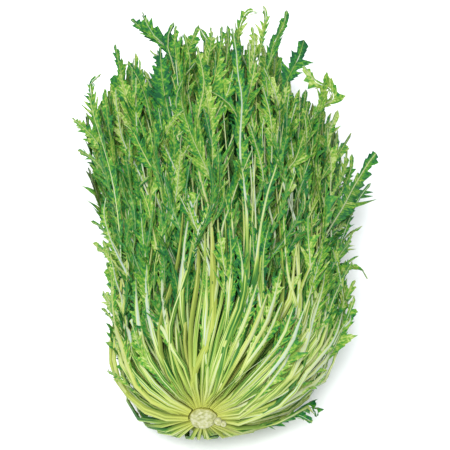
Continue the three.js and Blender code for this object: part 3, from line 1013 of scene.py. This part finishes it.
def leaf_material():
    n = Nodes("mizuna leaf")
    objects = n.add("ShaderNodeTexCoord").outputs["Object"]
    patches = n.noise(objects, 110)
    mottle = n.noise(objects, 480)
    grain = n.add("ShaderNodeUVMap", uv_map="grain").outputs["UV"]
    streaks = n.noise(grain, 1.0, 2.0)
    tones = [(n.attribute("tone"), 0.3), (patches, 0.7), (mottle, 1.4), (streaks, 1.2)]
    tone = n.weighted(tones, -1.22)
    blade = n.ramp(
        tone,
        [
            (0.14, (0.005, 0.06, 0.02)),
            (0.36, (0.014, 0.125, 0.022)),
            (0.58, (0.06, 0.205, 0.016)),
            (0.84, (0.19, 0.285, 0.035)),
            (0.98, (0.3, 0.38, 0.13)),
        ],
    )
    stalk_tone = n.weighted(
        [
            (n.attribute("tone"), 0.4),
            (streaks, 2.2),
            # Painted shade at the sides and in the grooves of stalks.
            (n.attribute("stripe"), 0.5),
            # Painted shade: stalks deep in the bunch take a darker tone.
            (n.attribute("depth"), 0.4),
        ],
        -1.71,
    )
    stalk = n.ramp(
        stalk_tone,
        [
            (0.05, (0.02, 0.1, 0.015)),
            (0.22, (0.09, 0.2, 0.025)),
            (0.38, (0.22, 0.32, 0.05)),
            (0.56, (0.36, 0.41, 0.13)),
            (0.74, (0.38, 0.43, 0.22)),
            (0.95, (0.3, 0.37, 0.32)),
        ],
    )
    stalk = n.blend(n.attribute("warm"), stalk, (0.31, 0.335, 0.06))
    colour = n.blend(n.attribute("pale"), blade, stalk)
    # Painted shade: leaves and stalks deep in the bunch are darkened towards dark green.
    open_part = n.maths("POWER", n.attribute("depth"), 1.5)
    shaded = n.blend(open_part, (0.012, 0.11, 0.024), colour)
    n.link(shaded, n.shader.inputs["Base Color"])
    n.shader.inputs["Roughness"].default_value = 0.55
    n.shader.inputs["Specular IOR Level"].default_value = 0.15
    return n.material


def crown_material():
    n = Nodes("mizuna crown")
    objects = n.add("ShaderNodeTexCoord").outputs["Object"]
    lumps = n.noise(objects, 420, 4.0)
    value = n.weighted([(lumps, 1.6), (n.attribute("tone"), -0.25)], -0.2)
    colour = n.ramp(
        value,
        [
            (0.15, (0.17, 0.18, 0.05)),
            (0.4, (0.28, 0.29, 0.115)),
            (0.6, (0.36, 0.36, 0.215)),
        ],
    )
    colour = n.blend(n.attribute("warm"), colour, (0.25, 0.25, 0.03))
    n.link(colour, n.shader.inputs["Base Color"])
    n.shader.inputs["Roughness"].default_value = 0.7
    return n.material


def floor_material():
    n = Nodes("floor")
    n.shader.inputs["Base Color"].default_value = (0.93, 0.94, 0.95, 1)
    n.shader.inputs["Roughness"].default_value = 0.9
    return n.material


# Where the solids stand.
crown_low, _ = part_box("crown")
shift = np.array(
    [
        crown_low[0] * 1000 + ROOT_RADIUS,
        crown_low[1] * 1000 + CUT_DIP,
        DROP * (1 + LAYER * LAYER_PART) + PRESS,
    ]
)

leaf_look = leaf_material()
crown_look = crown_material()


def place_piece(skin, name, node, material):
    piece = skin.make(name, material)
    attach(piece, "root")
    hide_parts(node)


# Leaves traced from the photograph. A row has how much of the leaf is leafy, how far its
# lobes reach or 0 to keep its kind's reach, its other traits that aren't left to chance,
# and pixels along it, from the bunch to its tip.
HIDDEN = {"deep": HIDDEN_SHARE, "width": 1.5}
DIVING = {"deep": HIDDEN_SHARE, "tone": 0.2, "width": 1.05}
MIDDLE = {"deep": HIDDEN_SHARE, "tone": -0.3}
SPRIG = {"slender": 0.7, "sinus": 0.5, "pitch": 6, "tone": -0.6, "rib": 0.7, "fold": 0}
# Pixels across at which leaves of the bunch's right side stand in a row.
RIGHT_SIDE = (314, 322, 329, 336)


def right_side_row(x):
    pixels = [(x - 10, 378), (x + 2, 345), (x + 6, 315), (x + 6, 285), (x + 2, 262)]
    return between(x, 51, 60, 100), between(x, 52, 6, 10), {"share": 1.0}, *pixels


# Those that stand in for leaves of the solids, by their number.
SOLID_LEAVES = {
    0: (35, 4, {}, (322, 296), (336, 274), (347, 263), (358, 256)),
    1: (95, 10, {"sinus": 0.65, "pitch": 8, "sweep": 0.8, "slender": 1.2, "uneven": -0.3,
        "tone": -0.1, "twist": 0, "fold": 0.1, "rib": 2.08, "width": 1.3, "raised": 0.14},
        (300, 290), (318, 250), (330, 228), (343, 207), (353, 188), (363, 171), (371, 159),
        (376, 153)),
    29: (55, 4, {"tone": -0.5}, (312, 310), (325, 280), (338, 250), (348, 222), (359, 198), (371, 183)),
    2: (70, 0, {}, (331, 240), (330, 205), (331, 163), (327, 140), (333, 122), (338, 110)),
    3: (55, 6, {"sinus": 0.45, "pitch": 8, "slender": 0.4, "twist": 0, "tone": 0.9, "rib": 2.08,
        "width": 1.4},
        (292, 190), (298, 147), (307, 125), (319, 109), (333, 99), (329, 88), (316, 82), (303, 66)),
    4: (45, 4, {}, (300, 190), (308, 143), (313, 120), (321, 105), (327, 72)),
    5: (52, 13, {"sinus": 0.3, "pitch": 15, "sweep": 0.9, "slender": 0.5, "tone": -0.6, "twist": 0,
        "fold": 0, "rib": 1.0},
        (275, 140), (280, 105), (284, 88), (292, 70), (299, 57), (304, 40)),
    6: (60, 9, {}, (265, 90), (272, 50), (278, 36), (284, 24), (287, 10)),
    7: (40, 4, {"raised": 0.36}, (258, 70), (262, 40), (266, 18), (263, 5)),
    8: (190, 6, {"sinus": 0.5, "tone": -0.1, "width": 1.7, "rib": 2.08, "raised": 0.1},
        (210, 400), (219, 380), (223, 355), (231, 333), (241, 308), (246, 280), (247, 240),
        (246, 203), (241, 165), (240, 140), (242, 100), (238, 75), (236, 50), (232, 28)),
    9: (150, 7, {"sinus": 0.4, "tone": 0.1, "width": 1.6, "rib": 1.92, "raised": 0.1},
        (212, 330), (213, 270), (210, 215), (200, 178), (197, 145), (198, 117), (204, 83), (197, 46)),
    10: (60, 8, {}, (195, 130), (187, 90), (184, 62), (190, 46), (199, 25)),
    11: (85, 8, {"sinus": 0.6, "pitch": 8, "slender": 0.4, "uneven": -0.5, "tone": -0.3, "twist": 0,
        "rib": 1.8},
        (180, 150), (186, 95), (179, 72), (172, 54), (162, 44), (148, 34), (131, 19)),
    12: (60, 7, {}, (150, 150), (136, 113), (124, 85), (119, 65), (115, 44)),
    13: (60, 6, {}, (116, 180), (100, 130), (93, 103), (91, 84), (101, 74)),
    14: (55, 7, {}, (120, 190), (106, 158), (93, 137), (83, 127), (72, 118)),
    15: (50, 6, {}, (118, 215), (108, 185), (101, 167), (90, 157), (78, 150)),
    16: (45, 7, {}, (125, 290), (118, 268), (108, 255), (93, 243)),
}
# Others that show against the floor, from the top round to both sides.
RIM_LEAVES = [
    (55, 9, {}, (184, 120), (180, 75), (175, 48), (176, 25)),
    (30, 4, {**HIDDEN, "tone": -0.3}, (176, 70), (166, 47), (152, 33), (142, 12)),
    (36, 5, {**HIDDEN, "tone": -0.3}, (176, 78), (170, 56), (167, 40), (174, 22)),
    (36, 5, {**HIDDEN, "tone": -0.3}, (178, 85), (176, 64), (176, 50), (181, 36)),
    (50, 5, {**HIDDEN, "tone": -0.2}, (178, 100), (172, 78), (162, 62), (150, 50)),
    (75, 7, {**HIDDEN, "tone": -0.6, "twist": 0.4}, (178, 140), (171, 105), (164, 75), (157, 50)),
    (60, 6, {**HIDDEN, "tone": -0.1}, (155, 140), (148, 105), (139, 80), (128, 62)),
    (45, 5, {}, (205, 90), (208, 60), (211, 43), (211, 27)),
    (45, 4, {}, (215, 90), (219, 58), (221, 42), (222, 26)),
    (40, 4, {}, (224, 80), (227, 55), (229, 40), (227, 25)),
    (45, 6, {}, (188, 90), (190, 62), (187, 45), (184, 33)),
    (45, 6, {}, (250, 90), (253, 62), (255, 45), (252, 26)),
    (45, 5, {}, (315, 190), (334, 160), (344, 145), (351, 133)),
    (50, 6, {}, (320, 210), (338, 185), (345, 165), (347, 150)),
    (50, 5, {}, (322, 225), (340, 195), (350, 172), (352, 154)),
    (45, 5, {"tone": 0.2}, (318, 300), (330, 272), (340, 255), (349, 243)),
    (60, 5, {}, (322, 330), (333, 300), (343, 278), (352, 262)),
    (60, 5, {}, (326, 345), (338, 318), (347, 296), (355, 280)),
    (55, 5, {}, (330, 355), (341, 332), (349, 312), (354, 296)),
    (70, 7, {}, (316, 320), (326, 290), (334, 262), (338, 240)),
    (70, 7, {}, (305, 310), (314, 280), (321, 255), (326, 232)),
    (45, 4, {}, (322, 365), (333, 345), (342, 328), (350, 318)),
    *[right_side_row(x) for x in RIGHT_SIDE],
    (40, 5, {}, (320, 290), (334, 262), (347, 243), (353, 232)),
    (50, 6, {}, (122, 300), (116, 280), (112, 262), (103, 240)),
    (50, 6, {}, (126, 320), (118, 300), (113, 285), (107, 262)),
    (50, 5, {}, (236, 70), (238, 37), (242, 20), (249, 11), (258, 13)),
    (30, 3, {}, (325, 262), (343, 240), (353, 231), (362, 226)),
    (32, 4, {"tone": -0.5}, (325, 240), (340, 222), (350, 210), (355, 203)),
    (42, 6, {}, (320, 300), (338, 278), (350, 268), (360, 268), (367, 279)),
    (25, 5, {}, (330, 240), (345, 221), (354, 211)),
    (35, 5, {}, (120, 255), (110, 238), (101, 227), (91, 221)),
    (35, 5, {}, (128, 330), (118, 316), (111, 305), (103, 291)),
    (25, 3, {}, (126, 340), (115, 322), (102, 308)),
    (25, 3, {}, (135, 392), (122, 379), (108, 371)),
    (48, 5.5, SPRIG,
        (240, 428), (266, 425), (283, 420), (296, 413), (309, 406), (316, 410), (316, 416)),
    (30, 5.5, SPRIG, (262, 427), (285, 420), (298, 415), (312, 421)),
    (35, 5, {}, (290, 400), (305, 388), (317, 382), (327, 370)),
]
# Leaves whose ribs show among the others, and whose stalks are hidden by them.
RIBS = [
    (70, 0, {"rib": 2.08}, (140, 230), (128, 190), (117, 153), (100, 138)),
    (70, 0, {"rib": 2.08}, (125, 270), (113, 245), (107, 228), (104, 212), (106, 198)),
    (60, 0, {"rib": 1.92}, (130, 235), (128, 205), (118, 182), (108, 172)),
    (80, 0, {}, (130, 240), (130, 207), (129, 165), (130, 138)),
    (50, 0, {}, (132, 230), (133, 205), (138, 188), (149, 176)),
    (80, 0, {"rib": 2.08}, (150, 200), (138, 170), (123, 140), (117, 107), (116, 90)),
    (60, 0, {}, (165, 190), (150, 165), (142, 150), (133, 132), (124, 124)),
    (70, 0, {}, (145, 180), (137, 130), (136, 95), (136, 78)),
    (60, 0, {}, (160, 160), (155, 110), (152, 90), (144, 70)),
    (60, 5, {"tone": -0.2}, (170, 160), (162, 120), (160, 97), (157, 74)),
    (60, 0, {}, (155, 190), (160, 150), (172, 122), (185, 109)),
    (60, 0, {"tone": 0.3}, (165, 200), (170, 148), (187, 128), (201, 118)),
    (60, 0, {}, (160, 260), (153, 230), (148, 207), (141, 188)),
    (80, 0, {"rib": 2.08}, (200, 230), (187, 193), (180, 180), (172, 162), (164, 144), (160, 128)),
    (60, 0, {}, (165, 210), (157, 168), (153, 145), (150, 128)),
    (50, 0, {}, (168, 190), (177, 167), (190, 143), (197, 128)),
    (90, 0, {"rib": 1.92}, (180, 300), (183, 265), (185, 240), (190, 215), (200, 193), (207, 178)),
    (50, 0, {}, (210, 270), (200, 240), (193, 220), (187, 203)),
    (50, 0, {}, (196, 260), (198, 232), (207, 217), (214, 204)),
    (50, 0, {}, (208, 240), (212, 203), (220, 190), (229, 180)),
    (50, 0, {}, (150, 225), (152, 190), (158, 175), (163, 163)),
    (60, 0, {}, (165, 240), (167, 207), (172, 182), (176, 168)),
    (80, 0, {"rib": 2.24, "width": 1.4}, (275, 235), (265, 192), (262, 168), (255, 142), (249, 123)),
    (100, 0, {}, (300, 235), (285, 190), (277, 150), (280, 117), (275, 93), (264, 68)),
    (60, 0, {}, (280, 195), (285, 173), (295, 160), (302, 140), (307, 123)),
    (70, 0, {}, (310, 215), (306, 172), (307, 140), (305, 118)),
    (70, 0, {}, (325, 215), (318, 183), (313, 162), (310, 140), (307, 122)),
    (80, 0, {}, (295, 310), (288, 275), (285, 240), (284, 215), (287, 193)),
    (80, 0, {"rib": 0.96}, (290, 300), (295, 255), (302, 233), (315, 205), (323, 193)),
    (45, 0, {"rib": 2.08}, (350, 320), (342, 288), (337, 265), (332, 247)),
    (60, 6, {"tone": -0.2}, (252, 190), (248, 150), (238, 118), (226, 101), (210, 91)),
    (70, 7, {}, (222, 180), (228, 150), (240, 120), (250, 90), (256, 62)),
    (60, 7, {}, (205, 150), (214, 120), (228, 92), (233, 70)),
    (70, 7, {}, (270, 190), (258, 160), (252, 120), (244, 85)),
    (60, 6, {"tone": -0.4}, (222, 230), (232, 200), (240, 178), (252, 150)),
    (50, 6, {"tone": 0.0}, (180, 130), (176, 100), (184, 78), (196, 62)),
    (50, 7, {}, (300, 170), (290, 140), (292, 110), (298, 92)),
    (80, 7, {"tone": 0.6}, (268, 190), (272, 150), (270, 115), (262, 85)),
    (70, 7, {"tone": 0.6}, (290, 200), (294, 165), (290, 130), (296, 104)),
    (70, 7, {"tone": 0.5}, (305, 205), (300, 170), (303, 140), (314, 118)),
    (70, 7, {"tone": 0.7}, (282, 170), (286, 140), (284, 110), (288, 82)),
    (60, 7, {"tone": 0.6}, (262, 130), (268, 100), (266, 75), (273, 55)),
]
# Stalks that show near the crown: in the middle, then from left to right, then some
# whose leafy ends go in under the others.
MIDDLE_STALKS = [
    (80, 0, {}, (262, 330), (258, 290), (254, 255), (252, 222)),
    (80, 0, {}, (225, 330), (229, 290), (231, 255), (229, 226)),
    (70, 0, {}, (246, 320), (244, 290), (242, 262), (236, 235)),
    (80, 0, {}, (262, 320), (262, 285), (264, 250), (270, 222)),
]
STALKS = [
    (100, 0, {}, (188, 417), (152, 401), (132, 379), (125, 355), (117, 333), (113, 308), (112, 282)),
    (75, 0, {"rib": 1.2}, (185, 368), (173, 350), (162, 328), (152, 315), (141, 290)),
    (75, 0, {"rib": 1.5}, (180, 398), (167, 383), (152, 367), (141, 350), (131, 320)),
    (75, 0, {"width": 1.2, "rib": 0.8}, (208, 380), (204, 340), (206, 300), (207, 270)),
    (75, 0, {"width": 1.1, "rib": 1.5}, (225, 345), (228, 300), (223, 260), (219, 230)),
    (75, 0, {"rib": 1.6}, (222, 385), (228, 373), (235, 352), (240, 332), (246, 310), (252, 285)),
    (130, 5, {"tone": -0.4, "width": 1.6, "rib": 1.1},
        (228, 373), (235, 360), (253, 288), (258, 247), (262, 220), (268, 192), (278, 160),
        (284, 120)),
    (75, 0, {"rib": 1.5}, (240, 375), (248, 357), (260, 335), (270, 315), (275, 295), (281, 268)),
    (0, 0, {"share": 1.12}, (210, 407), (218, 393), (230, 383), (248, 370), (267, 357), (280, 345)),
    (75, 0, {"rib": 1.6}, (232, 416), (253, 400), (273, 378), (288, 357), (294, 340), (300, 315)),
    (80, 0, {"width": 1.5, "rib": 1.6},
        (232, 420), (267, 397), (287, 380), (300, 357), (317, 307), (323, 285), (326, 260)),
    (90, 0, {}, (235, 424), (283, 403), (308, 370), (333, 340), (343, 307), (341, 285), (337, 262)),
    (60, 0, {"rib": 1.6, "width": 1.1}, (312, 305), (310, 262), (308, 235), (308, 216)),
]
DIVING_STALKS = [
    (50, 0, {"rib": 1.1}, (220, 400), (236, 378), (254, 354), (268, 334), (282, 302)),
    (50, 0, {"rib": 0.9}, (224, 404), (246, 381), (266, 360), (282, 338), (295, 303)),
    (50, 0, {"rib": 1.4}, (218, 394), (230, 372), (244, 348), (256, 326), (268, 292)),
    (50, 0, {"rib": 1.7}, (228, 408), (250, 391), (272, 370), (290, 345), (304, 310)),
    (50, 0, {"rib": 1.2}, (215, 390), (224, 368), (235, 342), (246, 318), (257, 284)),
    (60, 0, {"rib": 2.0}, (182, 392), (162, 360), (151, 325), (146, 290), (148, 258)),
    (60, 0, {"rib": 1.8}, (188, 388), (173, 352), (165, 315), (162, 280), (165, 246)),
    (60, 0, {"rib": 1.6}, (184, 400), (160, 375), (143, 345), (137, 310), (136, 272)),
]

traced_leaves = []
for solid, solid_row in SOLID_LEAVES.items():
    trace([solid_row], solid=solid)
trace(RIM_LEAVES)
trace(RIBS, **HIDDEN)
trace(MIDDLE_STALKS, **MIDDLE)
trace(STALKS)
trace(DIVING_STALKS, **DIVING)

sprays = []
for group in SPRAYS:
    for spray in range(group.count):
        sprays.append(plan_spray(group, FIRST_SPRAY + len(sprays)))

traced_solids = {leaf.number for leaf in traced_leaves if leaf.number < FIRST_EXTRA}
number = 0
for level, ring in enumerate(RINGS):
    for shoot in range(ring.shoots):
        skin = Skin()
        for k in range(ring.leaves):
            if number not in traced_solids:
                add_leaf(skin, add_character(plan_leaf(ring, shoot, k, number)))
            for extra in range(1 if ring.share < INNER_SHARE else 2):
                extra_number = FIRST_EXTRA * (extra + 1) + number
                add_leaf(skin, add_character(plan_extra(ring, shoot, k, extra_number)))
            number += 1
        if level == 0:
            for leaf in traced_leaves + sprays:
                home = leaf.phi / (2 * math.pi) * ring.shoots - 1 / 3
                if leaf.number in traced_solids:
                    home = leaf.number // ring.leaves
                if round(home) % ring.shoots == shoot:
                    add_leaf(skin, leaf)
        node = f"ring{level + 1}_shoot{shoot + 1:02d}"
        place_piece(skin, "leaves_" + node, node, leaf_look)
place_piece(crown_skin(), "cut_root", "crown", crown_look)

# Floor, light and camera.
bpy.ops.mesh.primitive_plane_add(size=8)
floor = bpy.context.object
floor.name = "floor"
floor.data.materials.append(floor_material())

world = bpy.data.worlds.new("studio")
bpy.context.scene.world = world
world.use_nodes = True
world.node_tree.nodes["Background"].inputs["Color"].default_value = (0.95, 0.98, 1, 1)
world.node_tree.nodes["Background"].inputs["Strength"].default_value = 1.1


def add_light(name, place, aim, size, power):
    data = bpy.data.lights.new(name, "AREA")
    data.size = size
    data.energy = power
    light = bpy.data.objects.new(name, data)
    light.location = place
    direction = Vector(aim) - Vector(place)
    light.rotation_euler = direction.to_track_quat("-Z", "Y").to_euler()
    bpy.context.collection.objects.link(light)


add_light("key", place=(-0.3, -0.75, 1.78), aim=(0, 0, 0.05), size=1.1, power=46)

lens = bpy.data.cameras.new("camera")
camera = bpy.data.objects.new("camera", lens)
camera.location = Vector((shift + view.eye) * 0.001)
camera.rotation_euler = (-Vector(view.back)).to_track_quat("-Z", "Y").to_euler()
lens.sensor_width = 36
lens.lens = lens.sensor_width * CAMERA_DISTANCE / (PHOTO_PIXELS * MM_PER_PIXEL)
lens.clip_end = 50
bpy.context.collection.objects.link(camera)
bpy.context.scene.camera = camera
bpy.context.scene.view_settings.view_transform = "Standard"
